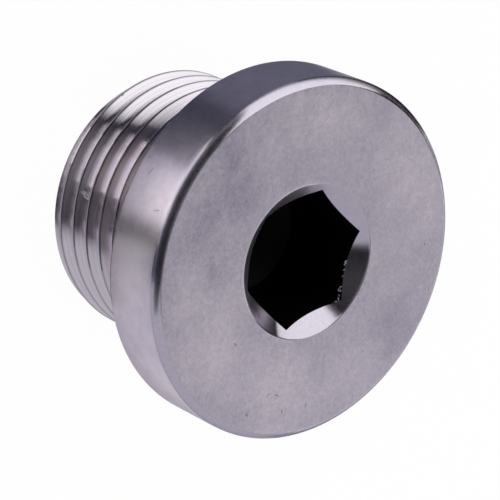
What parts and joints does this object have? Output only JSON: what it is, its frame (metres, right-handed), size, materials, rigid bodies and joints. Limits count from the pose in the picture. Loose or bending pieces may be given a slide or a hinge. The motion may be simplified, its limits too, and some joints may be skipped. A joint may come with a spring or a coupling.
{
  "type": "drain plug",
  "caption": "Drain plug: a round collar with a hexagon socket in its head, above a short shank with a fine right-handed thread.",
  "frame": {"origin": "middle of the flat end face of the threaded shank, which the plug stands on", "axes": "+Z along the plug's axis, from the threaded end to the head; +X towards one corner of the hexagon socket"},
  "size_m": [0.024, 0.024, 0.017],
  "materials": {
    "steel": "turned and polished steel, satin on the head and bright in the thread"
  },
  "bodies": {
    "root": {"plug": "steel"}
  },
  "joints": []
}
